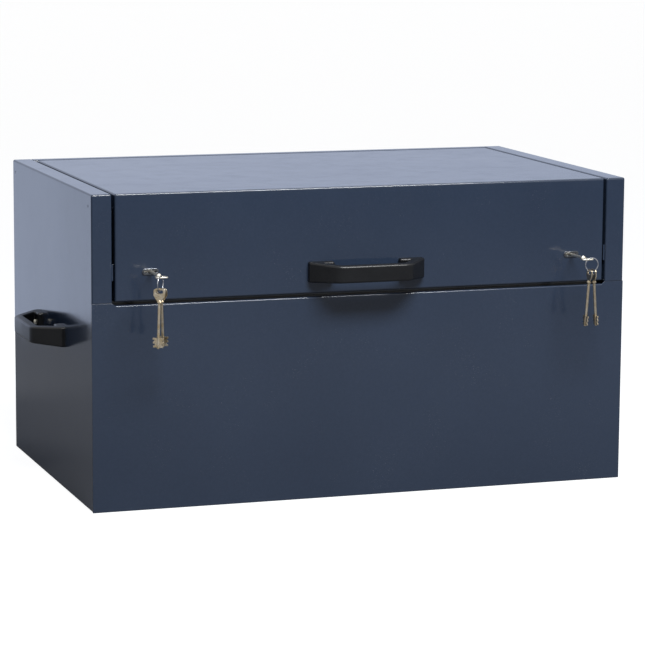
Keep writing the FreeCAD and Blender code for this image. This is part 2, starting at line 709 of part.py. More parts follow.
cover = Piece("lock_cover_left")
cover_y = (CASE_Y[1], CASE_Y[1] + " + sheet_thick")
cover.slab(CASE_X, cover_y, CASE_Z)
cover.fillet(cover.edges("Y", *corners), "bend_radius")
fixings = Piece("lock_screws_left")
for x, z in (
    (CASE_X[0] + " + case_screw_inset", CASE_Z[0] + " + case_screw_inset"),
    (CASE_X[1] + " - case_screw_inset", CASE_Z[1] + " - case_screw_inset"),
):
    hole = (x, (cover_y[0] + " - 1", cover_y[1] + " + 1"), z)
    cover.rod("Y", hole, "case_screw_radius + nut_clear", cut=True, sides=SMALL)
    shank = (plus(Y_SKIN, "sheet_thick"), cover_y[1] + " + 1")
    fixings.rod("Y", (x, shank, z), "case_screw_radius", sides=SMALL)
    fixings.rod("Y", (x, (cover_y[1], cover_y[1] + " + case_screw_rise"), z), "case_screw_head", sides=HEX)
mirrored("lock_cover_right", cover)
mirrored("lock_screws_right", fixings)

bolt = Piece("lock_bolt_left")
bolt_y = (plus(Y_FRONT, "bolt_front"), plus(Y_FRONT, "bolt_front + bolt_thick"))
bolt_shoulder = "-" + X_LOCK + " - bolt_throw"
bolt_z = ("lock_z - bolt_height/2", "lock_z + bolt_height/2")
bolt.slab(("-" + X_LID + " + bolt_short", bolt_shoulder), bolt_y, bolt_z)
mirrored("lock_bolt_right", bolt)
tail = Piece("bolt_tail_left")
tail_x = (bolt_shoulder + " - bolt_throw", "-" + X_LOCK + " + tail_reach")
tail.slab(tail_x, bolt_y, (bolt_z[1], bolt_z[1] + " + tail_height"))
mirrored("bolt_tail_right", tail)

levers = Piece("lever_pack_left")
for i in range(int(number("lever_count"))):
    plate = (
        plus(Y_SKIN, "2*sheet_thick + %d*lever_pitch" % i),
        plus(Y_SKIN, "2*sheet_thick + %d*lever_pitch + lever_thick" % i),
    )
    lever = [
        ("-" + X_LOCK + " - lever_half", "lock_z - lever_foot"),
        ("-" + X_LOCK + " + lever_half", "lock_z - lever_foot"),
        ("-" + X_LOCK + " + lever_half", "lock_z - lever_top - 3"),
        ("-" + X_LOCK + " + lever_half/2", "lock_z - lever_top"),
        ("-" + X_LOCK + " - lever_half/2", "lock_z - lever_top"),
        ("-" + X_LOCK + " - lever_half", "lock_z - lever_top - %d" % (3 + i)),
    ]
    levers.prism("XZ", lever, plate)
pivot_y = (plus(Y_SKIN, "sheet_thick"), CASE_Y[1])
levers.rod("Y", ("-" + X_LOCK + " + lever_half - 5", pivot_y, "lock_z - lever_foot + 6"), "screw_radius", sides=SMALL)
mirrored("lever_pack_right", levers)

plate = Piece("keyhole_plate_left")
plate_y = (Y_FRONT + " - plate_thick", Y_FRONT)
straight = "(plate_half - plate_height/2)"
plate.slab(
    ("-" + X_LOCK + " - " + straight, "-" + X_LOCK + " + " + straight),
    plate_y,
    ("lock_z - plate_height/2", "lock_z + plate_height/2"),
)
for sign in ("-", "+"):
    plate.rod("Y", ("-%s %s %s" % (X_LOCK, sign, straight), plate_y, "lock_z"), "plate_height/2")
through = (Y_FRONT + " - plate_thick - 1", Y_FRONT + " + 1")
plate.slab(KEYWAY_X, through, KEYWAY_Z, cut=True)
plate.rod("Y", ("-" + X_LOCK, through, "lock_z"), "keyway_radius", cut=True, sides=SMALL)
mirrored("keyhole_plate_right", plate)


# keys: stamped bow with an eye, round shank with a shoulder and a stepped double bit
def key(label, axes, x, y, z):
    """A key about its eye, tip towards +Y and the bow flat in XY, then turned to the axes."""
    piece = Piece(label)
    bow = [
        ("-bow_half", "-eye_edge"),
        ("bow_half", "-eye_edge"),
        ("bow_half", "bow_square"),
        ("shank_radius - 0.25", "bow_length"),
        ("-shank_radius + 0.25", "bow_length"),
        ("-bow_half", "bow_square"),
    ]
    piece.prism("XY", bow, ("-bow_thick/2", "bow_thick/2"))
    tip = "key_length - eye_edge"
    piece.rod("Y", ("0", ("bow_length - 4", tip), "0"), "shank_radius", sides=TINY)
    shoulder = ("bow_length - 2", "bow_length - 2 + shoulder_length")
    piece.rod("Y", ("0", shoulder, "0"), "shoulder_radius", sides=TINY)
    steps = (0.95, 0.7, 0.9, 0.6, 0.85)
    bit = []
    for i, share in enumerate(steps):
        bit.append(("%g*bow_half" % share, "bit_start + %d*bit_step" % i))
        bit.append(("%g*bow_half" % share, "bit_start + %d*bit_step" % (i + 1)))
    bit += [("-" + u, v) for u, v in reversed(bit)]
    piece.prism("XY", bit, ("-bit_thick/2", "bit_thick/2"))
    through = ("-bow_thick", "bow_thick")
    for at in ("-eye_slot", "eye_slot"):
        piece.rod("Z", (at, "0", through), "eye_radius", cut=True)
    piece.slab(("-eye_slot", "eye_slot"), ("-eye_radius", "eye_radius"), through, cut=True)
    piece.body.Placement = FreeCAD.Placement(FreeCAD.Vector(), axes)
    stand(piece.body, x, y, z)


key("key_left", FreeCAD.Rotation(), "-" + X_LOCK, Y_FRONT + " - key_reach", "lock_z")
key("key_right", FreeCAD.Rotation(), X_LOCK, Y_FRONT + " - key_reach", "lock_z")


# key rings: each hangs on the strip between the eye and the edge of its key and carries two spare keys
def ring_and_spares(side, lock, yaw, eye, edge):
    """A ring in the upright plane that the yaw gives; the strip it hangs on runs from the eye to the edge."""
    turn = FreeCAD.Rotation(FreeCAD.Vector(0, 0, 1), number(yaw))
    along = turn.multVec(FreeCAD.Vector(-1, 0, 0))
    up = FreeCAD.Vector(0, 0, 1)
    middle = "(%s + %s)/2" % (eye, edge)
    inside = "(ring_radius - ring_wire - ring_clear)"
    centre = "lock_z + bow_thick/2 - sqrt(%s^2 - ((%s - %s)/2)^2)" % (inside, edge, eye)
    x = lock + " - (%s)*cos(" + yaw + ")"
    y = Y_FRONT + " - key_reach - (%s)*sin(" + yaw + ")"
    ring = Piece("key_ring_" + side)
    ring.rod("Z", ("0", "0", ("-ring_wire", "ring_wire")), "ring_radius + ring_wire", sides=FINE)
    bore = ("-2*ring_wire", "2*ring_wire")
    ring.rod("Z", ("0", "0", bore), "ring_radius - ring_wire", cut=True, sides=FINE)
    ring.body.Placement = FreeCAD.Placement(FreeCAD.Vector(), FreeCAD.Rotation(up, up.cross(along)))
    stand(ring.body, x % middle, y % middle, centre)
    for letter, sign in (("a", -1), ("b", 1)):
        splay = FreeCAD.Rotation(up.cross(along), -sign * number("spare_splay"))
        hang = splay.multVec(FreeCAD.Vector(0, 0, -1))
        axle = splay.multVec(along)
        axes = FreeCAD.Rotation(hang.cross(axle), hang, axle, "ZXY")
        place = "%s %s spare_apart" % (middle, "+" if sign > 0 else "-")
        drop = centre + " - sqrt(ring_radius^2 - spare_apart^2) - (eye_radius - ring_wire - spare_clear)"
        key("spare_key_%s_%s" % (side, letter), axes, x % place, y % place, drop)


slanted = "((%s %s ring_wire*cos(left_ring_yaw))/sin(left_ring_yaw))"
strip = (slanted % ("eye_radius", "-"), slanted % ("eye_edge", "+"))
ring_and_spares("left", "-" + X_LOCK, "left_ring_yaw", *strip)
ring_and_spares("right", X_LOCK, "right_ring_yaw", "(eye_slot + eye_radius)", "bow_half")

doc.recompute()
for thing in doc.Objects:
    if "Invalid" in thing.State or "Error" in thing.State:
        raise RuntimeError("%s is %s" % (thing.Label, thing.State))
for piece in pieces:
    shape = piece.Shape
    if shape.isNull() or not shape.isValid() or not shape.Solids:
        raise RuntimeError("%s has no sound solid" % piece.Label)
    shape.exportStep("parts/%s.step" % piece.Label)
    print(piece.Label, len(shape.Solids), round(shape.Volume))
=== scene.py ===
import json
import math

import bmesh
import bpy
from mathutils import Matrix, Vector


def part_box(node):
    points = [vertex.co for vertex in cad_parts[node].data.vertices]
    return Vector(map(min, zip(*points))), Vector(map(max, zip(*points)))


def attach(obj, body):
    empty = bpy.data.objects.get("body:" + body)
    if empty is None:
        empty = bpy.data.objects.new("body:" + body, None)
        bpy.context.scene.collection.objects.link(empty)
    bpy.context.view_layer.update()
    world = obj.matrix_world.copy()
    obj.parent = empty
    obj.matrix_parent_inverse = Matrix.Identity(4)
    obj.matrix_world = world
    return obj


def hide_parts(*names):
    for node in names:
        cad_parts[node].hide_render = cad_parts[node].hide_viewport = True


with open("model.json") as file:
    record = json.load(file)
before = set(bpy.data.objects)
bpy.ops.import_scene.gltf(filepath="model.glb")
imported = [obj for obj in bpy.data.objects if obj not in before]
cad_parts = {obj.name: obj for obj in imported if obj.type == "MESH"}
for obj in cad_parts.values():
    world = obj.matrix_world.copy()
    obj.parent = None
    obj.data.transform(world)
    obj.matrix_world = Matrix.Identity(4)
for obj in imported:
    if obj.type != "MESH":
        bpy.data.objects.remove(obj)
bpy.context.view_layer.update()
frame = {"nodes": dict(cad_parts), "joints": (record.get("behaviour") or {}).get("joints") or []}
scene = bpy.context.scene

# The viewpoint: low, from the left of the front, with a long lens, so that the front panel
# is nearly square on and the left side and the lid's top are seen at a grazing angle.
CAMERA_PLACE = (-1.557725, -4.604676, 1.033854)
CAMERA_TURN = (80.76981, -0.36521, -18.86065)
CAMERA_SENSOR, CAMERA_LENS = 36, 159.913

camera = bpy.data.objects.new("camera", bpy.data.cameras.new("camera"))
camera.location = CAMERA_PLACE
camera.rotation_euler = [math.radians(angle) for angle in CAMERA_TURN]
camera.data.sensor_width = CAMERA_SENSOR
camera.data.lens = CAMERA_LENS
scene.collection.objects.link(camera)
scene.camera = camera

# The studio: a floor and a sky that look white to the camera, and one long soft lamp above the
# front, which the level rims and bends mirror. Two cool reflector cards that the camera doesn't
# see stand behind the box: the side wall's upper half mirrors the low one, the lid the high one.
FLOOR_SIZE, FLOOR_LEVEL = 60.0, -0.0005
FLOOR_COLOUR, FLOOR_ROUGHNESS, FLOOR_IOR = (0.17, 0.175, 0.185, 1), 0.9, 1.1
FLOOR_GLOW, FLOOR_GLOW_MIRRORED = 0.92, 0.03
WHITE, SKY_LEVEL = (1, 1, 1, 1), 0.27
RAYS_SEEN = ("Is Camera Ray", "Is Glossy Ray", "Is Transmission Ray")
CARD_Y, CARD_HALF, CARD_PAPER = 1.55, 4.0, (0.02, 0.02, 0.02, 1)
# Each card has the heights of its lower and upper edge, a colour and a glow.
CARDS = {
    "low_card": (0.0, 0.5, (0.66, 0.76, 1.0, 1), 1.10),
    "high_card": (0.5, 2.2, (0.68, 0.77, 1.0, 1), 0.74),
}
LAMP_PLACE, LAMP_AIM = (0.3, -2.3, 3.1), (0, 0, 0.25)
LAMP_WIDTH, LAMP_HEIGHT, LAMP_POWER = 2.4, 0.8, 236


class Socket:
    """A shader value that Python's own signs work on."""

    def __init__(self, tree, socket):
        self.tree = tree
        self.socket = socket

    def maths(self, operation, first, second):
        node = self.tree.nodes.new("ShaderNodeMath")
        node.operation = operation
        for place, value in zip(node.inputs, (first, second)):
            connect(self.tree, place, value)
        return Socket(self.tree, node.outputs[0])

    def __add__(self, other):
        return self.maths("ADD", self, other)

    def __radd__(self, other):
        return self.maths("ADD", other, self)

    def __sub__(self, other):
        return self.maths("SUBTRACT", self, other)

    def __rsub__(self, other):
        return self.maths("SUBTRACT", other, self)

    def __mul__(self, other):
        return self.maths("MULTIPLY", self, other)

    def __rmul__(self, other):
        return self.maths("MULTIPLY", other, self)


def connect(tree, place, value):
    """Puts a number, a colour or another node's output on an input socket."""
    if isinstance(value, Socket):
        tree.links.new(value.socket, place)
    else:
        place.default_value = value


class Graph:
    """The nodes of a material or of the sky."""

    def __init__(self, tree):
        self.tree = tree

    def node(self, kind, settings=None, inputs=None, output=0):
        """A node of a type: its settings are made first, and then its sockets."""
        node = self.tree.nodes.new(kind)
        for name, value in (settings or {}).items():
            setattr(node, name, value)
        for name, value in (inputs or {}).items():
            connect(self.tree, node.inputs[name], value)
        return Socket(self.tree, node.outputs[output])

    def rays_seen(self):
        """Three values that are 1 for a ray from the camera, off a mirror or through glass."""
        return [self.node("ShaderNodeLightPath", output=kind) for kind in RAYS_SEEN]


class Finish(Graph):
    """A material, and the nodes that make it."""

    def __init__(self, name):
        self.material = bpy.data.materials.new(name)
        self.material.use_nodes = True
        super().__init__(self.material.node_tree)
        self.shader = self.tree.nodes["Principled BSDF"]

    def surface(self, **values):
        """Sets the shader's own sockets; an underscore stands for a space."""
        for name, value in values.items():
            connect(self.tree, self.shader.inputs[name.replace("_", " ")], value)
        return self.material


def show(name, mesh, material):
    """Puts a mesh in the scene with its material."""
    thing = bpy.data.objects.new(name, mesh)
    thing.data.materials.clear()
    thing.data.materials.append(material)
    scene.collection.objects.link(thing)
    return thing


def made(name, shape):
    """The mesh of a shape that is finished."""
    mesh = bpy.data.meshes.new(name)
    shape.to_mesh(mesh)
    shape.free()
    return mesh


def sheet_mesh(name, corners):
    """One flat face."""
    shape = bmesh.new()
    shape.faces.new([shape.verts.new(corner) for corner in corners])
    return made(name, shape)


paper = Finish("studio_floor")
straight, mirrored, through = paper.rays_seen()
glow = straight * FLOOR_GLOW + (mirrored + through) * FLOOR_GLOW_MIRRORED
paper.surface(Base_Color=FLOOR_COLOUR, Roughness=FLOOR_ROUGHNESS, IOR=FLOOR_IOR)
paper.surface(Emission_Color=WHITE, Emission_Strength=glow)
half = FLOOR_SIZE / 2
corners = [(x, y, FLOOR_LEVEL) for x, y in ((-half, -half), (half, -half), (half, half), (-half, half))]
floor = show("studio_floor", sheet_mesh("studio_floor", corners), paper.material)

for name, (low, high, colour, strength) in CARDS.items():
    paper = Finish(name)
    paper.surface(Base_Color=CARD_PAPER, Emission_Color=colour, Emission_Strength=strength)
    corners = [(-CARD_HALF, CARD_Y, low), (CARD_HALF, CARD_Y, low)]
    corners += [(CARD_HALF, CARD_Y, high), (-CARD_HALF, CARD_Y, high)]
    card = show(name, sheet_mesh(name, corners), paper.material)
    card.visible_camera = False

world = bpy.data.worlds.new("studio_sky")
scene.world = world
world.use_nodes = True
sky = Graph(world.node_tree)
straight, mirrored, through = sky.rays_seen()
glow = SKY_LEVEL + (straight + mirrored + through) * (1.0 - SKY_LEVEL)
background = sky.tree.nodes["Background"]
connect(sky.tree, background.inputs["Color"], WHITE)
connect(sky.tree, background.inputs["Strength"], glow)

lamp = bpy.data.objects.new("long_lamp", bpy.data.lights.new("long_lamp", "AREA"))
lamp.data.shape = "RECTANGLE"
lamp.data.size = LAMP_WIDTH
lamp.data.size_y = LAMP_HEIGHT
lamp.data.energy = LAMP_POWER
lamp.location = LAMP_PLACE
lamp.rotation_euler = (Vector(LAMP_AIM) - lamp.location).to_track_quat("-Z", "Y").to_euler()
scene.collection.objects.link(lamp)
scene.view_settings.view_transform = "Standard"

# The cabinet and lid: 2 mm sheet steel, laser cut, folded on a press brake and welded, then
# powder coated in a glossy blue-black. The coat has a fine orange peel, and the big sheets
# aren't quite flat, so what they mirror is drawn out and wavers.
SIDES = ("left", "right")
NAVY = (0.020, 0.031, 0.056, 1)
NAVY_DEEP = (0.016, 0.0255, 0.047, 1)
DUST, DUST_SHARE, DUST_ROUGHENS = (0.20, 0.20, 0.20, 1), 0.35, 0.2
COAT_ROUGHNESS, COAT_IOR = (0.105, 0.18), 1.52
EDGE_ROUND, EDGE_SAMPLES = 0.0012, 4
CABINET_WAVE, LID_WAVE, PEEL_HEIGHT = 0.0022, 0.0012, 0.000014
# A texture is how often it repeats in a metre, its detail and its roughness.
DRIFT, MOTTLE, SMEAR = (3.1, 2.0, 0.5), (260.0, 3.0, 0.6), (22.0, 4.0, 0.65)
SPECKS, DUSTY_PATCHES = (900.0, 1.0, 0.5), (14.0, 2.0, 0.5)
SHEET_WAVE, ORANGE_PEEL = (2.6, 1.0, 0.5), (620.0, 2.0, 0.5)
MIX_SHARE, MIX_FIRST, MIX_SECOND, MIX_RESULT = 0, 6, 7, 2


def place_of(finish):
    """The place on the piece, in metres."""
    return finish.node("ShaderNodeTexCoord", output="Object")


def noise(finish, place, texture):
    """A texture's noise, from 0 to 1."""
    per_metre, detail, roughness = texture
    sockets = {"Vector": place, "Scale": per_metre, "Detail": detail, "Roughness": roughness}
    return finish.node("ShaderNodeTexNoise", None, sockets)


def spread(finish, value, window, reach=(0.0, 1.0)):
    """Maps the window of a value onto its new reach, and holds it there."""
    sockets = {"Value": value, "From Min": window[0], "From Max": window[1]}
    sockets.update({"To Min": reach[0], "To Max": reach[1]})
    return finish.node("ShaderNodeMapRange", {"clamp": True}, sockets)


def blend(finish, share, first, second):
    """Mixes two colours; the node's sockets share their names, so they go by number."""
    sockets = {MIX_SHARE: share, MIX_FIRST: first, MIX_SECOND: second}
    return finish.node("ShaderNodeMix", {"data_type": "RGBA"}, sockets, MIX_RESULT)


def rounded_edge(finish, radius):
    """A normal that rounds the edges by a radius in metres."""
    return finish.node("ShaderNodeBevel", {"samples": EDGE_SAMPLES}, {"Radius": radius})


def bumped(finish, height, distance, under=None):
    """A normal that stands for a height of so many metres, over another normal."""
    sockets = {"Height": height, "Distance": distance}
    if under is not None:
        sockets["Normal"] = under
    return finish.node("ShaderNodeBump", None, sockets)


def powder_coat(name, wave):
    """Glossy coat over a sheet whose flatness is off by the wave, in metres."""
    finish = Finish(name)
    place = place_of(finish)
    tone = noise(finish, place, DRIFT) * 0.6 + noise(finish, place, MOTTLE) * 0.4
    colour = blend(finish, spread(finish, tone, (0.35, 0.65)), NAVY_DEEP, NAVY)
    dust = spread(finish, noise(finish, place, SPECKS), (0.70, 0.78))
    dust = dust * spread(finish, noise(finish, place, DUSTY_PATCHES), (0.45, 0.7))
    rough = spread(finish, noise(finish, place, SMEAR), (0.35, 0.75), COAT_ROUGHNESS)
    flatness = noise(finish, place, SHEET_WAVE)
    flatness = bumped(finish, flatness, wave, rounded_edge(finish, EDGE_ROUND))
    return finish.surface(
        Base_Color=blend(finish, dust * DUST_SHARE, colour, DUST),
        Roughness=rough + dust * DUST_ROUGHENS,
        IOR=COAT_IOR,
        Normal=bumped(finish, noise(finish, place, ORANGE_PEEL), PEEL_HEIGHT, flatness),
    )


def dress(name, material):
    """Gives a piece of the CAD model its finish."""
    frame["nodes"][name].material_slots[0].material = material


cabinet_coat = powder_coat("blue_black_coat", CABINET_WAVE)
for name in ("front_panel", "back_panel", "floor_panel", "hinge_leaf_body"):
    dress(name, cabinet_coat)
for side in SIDES:
    for name in ("side_panel_", "strike_post_", "keeper_plate_", "stay_bracket_"):
        dress(name + side, cabinet_coat)
lid_coat = powder_coat("blue_black_coat_lid", LID_WAVE)
for name in ("lid", "lid_stiffener", "hinge_leaf_lid"):
    dress(name, lid_coat)

# The zinc-plated steel parts: hinge pin, slotted stay arms with their shoulder bolts, lock
# cases, covers, screws and bolts. Bright plate with a faint yellow-blue bloom, drawn and handled.
ZINC = (0.56, 0.57, 0.58, 1)
ZINC_BLOOM = (0.60, 0.57, 0.47, 1)
ZINC_ROUGHNESS, ZINC_EDGE, ZINC_GRAIN = (0.24, 0.42), 0.0005, 0.00004
DRAWN_LINES, BLOOM_PATCHES = (55.0, 4.0, 0.7), (38.0, 3.0, 0.5)
DRAWN_ACROSS, DRAWN_UPRIGHT = (4, 40, 40), (40, 40, 4)


def zinc_plate(name, drawn):
    """Bright zinc; it is drawn or ground along the axis with the small scale."""
    finish = Finish(name)
    place = place_of(finish)
    stretched = finish.node("ShaderNodeMapping", None, {"Vector": place, "Scale": drawn})
    lines = noise(finish, stretched, DRAWN_LINES)
    bloom = spread(finish, noise(finish, place, BLOOM_PATCHES), (0.35, 0.7))
    return finish.surface(
        Base_Color=blend(finish, bloom, ZINC, ZINC_BLOOM),
        Metallic=1.0,
        Roughness=spread(finish, lines, (0.3, 0.7), ZINC_ROUGHNESS),
        Normal=bumped(finish, lines, ZINC_GRAIN, rounded_edge(finish, ZINC_EDGE)),
    )


zinc_across = zinc_plate("zinc_drawn_across", DRAWN_ACROSS)
zinc_upright = zinc_plate("zinc_drawn_upright", DRAWN_UPRIGHT)
dress("hinge_pin", zinc_across)
for side in SIDES:
    for name in ("lid_stay_", "stay_pivot_", "stay_stud_"):
        dress(name + side, zinc_upright)
    for name in ("lock_case_", "lock_cover_", "lock_bolt_", "bolt_tail_", "lock_screws_"):
        dress(name + side, zinc_across)

# The bow handles: moulded in black glass-filled nylon. The grip stands 50 mm off the wall on
# sloping arms, every rim is rounded, and each foot is held by a screw with its nut on a lug.
MM = 0.001
# Each handle has the body that carries it, and the degrees that it is turned from the front.
HANDLES = {
    "front_handle": ("lid_leaf", 0),
    "side_handle_left": ("cabinet", -90),
    "side_handle_right": ("cabinet", 90),
}
HANDLE_HALF, HANDLE_REACH, FOOT_RISE = 99, 50, 7
HANDLE_HEIGHT, GRIP_HEIGHT, TAPER_PAST_GRIP = 34, 27, 1
GRIP_HALF, GRIP_INNER, GRIP_THICK = 61, 54, 15
LUG_IN, LUG_OUT, LUG_THICK = 56, 76, 10
FOOT_ROUND, GRIP_ROUND, GRIP_ROUND_IN = 3.2, 22, 7
LUG_ROUND, LUG_ROUND_OUT = 3.2, 1.5
RIM_ROUND, RIM_STEPS, ARC_STEPS = 3, 4, 5
OFF_WALL = -0.000001
NYLON = (0.0022, 0.0026, 0.0036, 1)
NYLON_WORN, WORN_SHARE = (0.0055, 0.006, 0.0075, 1), 0.5
NYLON_ROUGHNESS, NYLON_IOR, GRAIN_HEIGHT, FLOW_HEIGHT = (0.24, 0.40), 1.42, 0.00003, 0.0004
RUBBED, MOULD_GRAIN, MOULD_FLOW = (60.0, 4.0, 0.6), (1800.0, 3.0, 0.6), (16.0, 2.0, 0.5)
SHEET = 2
SCREW_X, SCREW_RADIUS, SCREW_HEAD, HEAD_RISE = 66, 2.5, 4.5, 3
HEAD_CHAMFER, HEAD_FACE = 0.6, 0.96
SCREW_TIP, TIP_TAPER, TIP_NARROWS = 0.8, 0.3, 0.4
THREAD_TURNS, THREAD_PITCH, THREAD_DEPTH = 9, 0.5, 0.25
NUT_RADIUS, NUT_HEIGHT, NUT_PLAY, NUT_FACE = 5, 4, 0.15, 0.98
NUT_CHAMFER_BASE, NUT_CHAMFER_TOP = 0.5, 0.7
FIXING_SIDES = 48


def rounded(corners, steps):
    """A closed outline from (u, v, radius) corners, each turned into an arc."""
    points = []
    for i, (u, v, radius) in enumerate(corners):
        here = Vector((u, v))
        if not radius:
            points.append(here)
            continue
        before = (Vector(corners[i - 1][:2]) - here).normalized()
        after = (Vector(corners[(i + 1) % len(corners)][:2]) - here).normalized()
        half = before.angle(after) / 2
        middle = here + (before + after).normalized() * (radius / math.sin(half))
        start = here + before * (radius / math.tan(half)) - middle
        end = here + after * (radius / math.tan(half)) - middle
        turn = start.angle_signed(end)
        for step in range(steps + 1):
            points.append(middle + Matrix.Rotation(-turn * step / steps, 2) @ start)
    return points


def other_side(corners):
    """The corners across the middle line, in the order that closes the outline."""
    return [(-u, v, radius) for u, v, radius in reversed(corners)]


def skin(rings):
    """A shape over rings of points in millimetres, closed at both ends."""
    shape = bmesh.new()
    rings = [[shape.verts.new(Vector(point) * MM) for point in ring] for ring in rings]
    for near, far in zip(rings, rings[1:]):
        for i in range(len(near)):
            j = (i + 1) % len(near)
            shape.faces.new((near[i], near[j], far[j], far[i]))
    shape.faces.new(rings[0])
    shape.faces.new(rings[-1])
    bmesh.ops.recalc_face_normals(shape, faces=shape.faces)
    return shape


def handle_mesh(name, outline):
    """The bow, tallest at the wall, with its rims weighted for rounding."""
    taper = (GRIP_HEIGHT / HANDLE_HEIGHT - 1) / (HANDLE_REACH + TAPER_PAST_GRIP)
    layers = []
    for sign in (-1, 1):
        layers.append([(u, v, sign * HANDLE_HEIGHT / 2 * (1 - taper * v)) for u, v in outline])
    shape = skin(layers)
    weight = shape.edges.layers.float.new("bevel_weight_edge")
    for edge in shape.edges:
        along_rim = edge.verts[0].co.z * edge.verts[1].co.z > 0
        off_wall = any(vert.co.y < OFF_WALL for vert in edge.verts)
        edge[weight] = 1.0 if along_rim and off_wall else 0.0
    return made(name, shape)


def smooth(thing, angle):
    """Smooth faces, with the edges sharper than the angle left sharp."""
    for face in thing.data.polygons:
        face.use_smooth = True
    thing.data.set_sharp_from_angle(angle=math.radians(angle))


def soften_rims(thing, width):
    """Rounds the weighted rims by a width in millimetres."""
    bevel = thing.modifiers.new("rim_round", "BEVEL")
    bevel.limit_method = "WEIGHT"
    bevel.width = width * MM
    bevel.segments = RIM_STEPS
    bevel.use_clamp_overlap = False
    bevel.harden_normals = True
    smooth(thing, angle=40)


def nylon_finish():
    """Black nylon, rubbed a little paler in patches, with the grain and flow of its mould."""
    finish = Finish("black_nylon")
    place = place_of(finish)
    worn = spread(finish, noise(finish, place, RUBBED), (0.45, 0.8))
    grain = noise(finish, place, MOULD_GRAIN)
    flow = noise(finish, place, MOULD_FLOW)
    return finish.surface(
        Base_Color=blend(finish, worn * WORN_SHARE, NYLON, NYLON_WORN),
        Roughness=spread(finish, grain * 0.6 + flow * 0.4, (0.3, 0.7), NYLON_ROUGHNESS),
        IOR=NYLON_IOR,
        Normal=bumped(finish, grain, GRAIN_HEIGHT, bumped(finish, flow, FLOW_HEIGHT)),
    )


def lathe(name, profile, sides, flats=None):
    """Turns (along, radius) rings about Y into a solid; the rings in flats are cut six-sided."""
    rings = []
    for index, (along, radius) in enumerate(profile):
        flat = (flats or {}).get(index)
        ring = []
        for i in range(sides):
            angle = 2 * math.pi * i / sides
            off_flat = (angle + math.pi / 6) % (math.pi / 3) - math.pi / 6
            reach = min(radius, flat / math.cos(off_flat)) if flat else radius
            ring.append((reach * math.cos(angle), along, reach * math.sin(angle)))
        rings.append(ring)
    return made(name, skin(rings))


def together(name, parts):
    """One mesh from (mesh, matrix) parts."""
    shape = bmesh.new()
    for mesh, matrix in parts:
        piece = mesh.copy()
        piece.transform(matrix)
        shape.from_mesh(piece)
        bpy.data.meshes.remove(piece)
    return made(name, shape)


nylon = nylon_finish()
outer_side = [(GRIP_HALF, -HANDLE_REACH, GRIP_ROUND)]
outer_side += [(HANDLE_HALF, -FOOT_RISE, FOOT_ROUND), (HANDLE_HALF, 0, 0)]
inner_side = [(LUG_IN, 0, 0), (LUG_IN, -LUG_THICK, LUG_ROUND), (LUG_OUT, -LUG_THICK, LUG_ROUND_OUT)]
inner_side += [(GRIP_INNER, GRIP_THICK - HANDLE_REACH, GRIP_ROUND_IN)]
bow_outline = other_side(outer_side) + outer_side + inner_side + other_side(inner_side)
bow_outline = rounded(bow_outline, ARC_STEPS)

nut_flat, head_flat = [radius * math.cos(math.pi / 6) for radius in (NUT_RADIUS, SCREW_HEAD)]
nut_base, nut_top = -LUG_THICK, -LUG_THICK - NUT_HEIGHT
nut_profile = [(nut_base, nut_flat), (nut_base - NUT_CHAMFER_BASE, NUT_RADIUS)]
nut_profile += [(nut_top + NUT_CHAMFER_TOP, NUT_RADIUS), (nut_top, nut_flat * NUT_FACE)]
nut_profile += [(nut_top, SCREW_RADIUS + NUT_PLAY), (nut_base, SCREW_RADIUS + NUT_PLAY)]
screw_end = nut_top - SCREW_TIP
screw_profile = [(screw_end, SCREW_RADIUS - TIP_NARROWS)]
for turn in range(THREAD_TURNS):
    crest = screw_end + TIP_TAPER + turn * THREAD_PITCH
    screw_profile += [(crest, SCREW_RADIUS), (crest + THREAD_PITCH / 2, SCREW_RADIUS - THREAD_DEPTH)]
head_top = SHEET + HEAD_RISE
screw_profile += [(SHEET, SCREW_RADIUS), (SHEET, SCREW_HEAD)]
screw_profile += [(head_top - HEAD_CHAMFER, SCREW_HEAD), (head_top, head_flat * HEAD_FACE)]
last = len(screw_profile) - 1
fixings = {
    "_nuts": (nut_profile, {1: nut_flat, 2: nut_flat}),
    "_screws": (screw_profile, {last - 2: head_flat, last - 1: head_flat}),
}
for name, (body, facing) in HANDLES.items():
    low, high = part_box(name)
    turn = Matrix.Rotation(math.radians(facing), 4, "Z")
    wall_to_middle = turn @ Vector((0, -HANDLE_REACH / 2, 0)) * MM
    stand = Matrix.Translation((low + high) / 2 - wall_to_middle) @ turn
    handle = show(name + "_bow", handle_mesh(name + "_bow", bow_outline), nylon)
    handle.matrix_world = stand
    soften_rims(handle, RIM_ROUND)
    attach(handle, body)
    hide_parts(name)
    for kind, (profile, flats) in fixings.items():
        turned = lathe(name + kind, profile, FIXING_SIDES, flats)
        pair = [(turned, Matrix.Translation((x * MM, 0, 0))) for x in (-SCREW_X, SCREW_X)]
        fixing = show(name + kind + "_turned", together(name + kind, pair), zinc_across)
        fixing.matrix_world = stand
        smooth(fixing, angle=32)
        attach(fixing, body)
        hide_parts(name + kind)

# The lever packs: stacks of stamped brass levers with a tumbled finish. They stand in the lock
# cases behind the covers, where the key's bit lifts them.
BRASS = (0.62, 0.44, 0.16, 1)
BRASS_DARK = (0.36, 0.24, 0.09, 1)
BRASS_ROUGHNESS, TUMBLE_HEIGHT = (0.25, 0.45), 0.00004
TARNISH, TUMBLE = (120.0, 4.0, 0.5), (400.0, 2.0, 0.5)

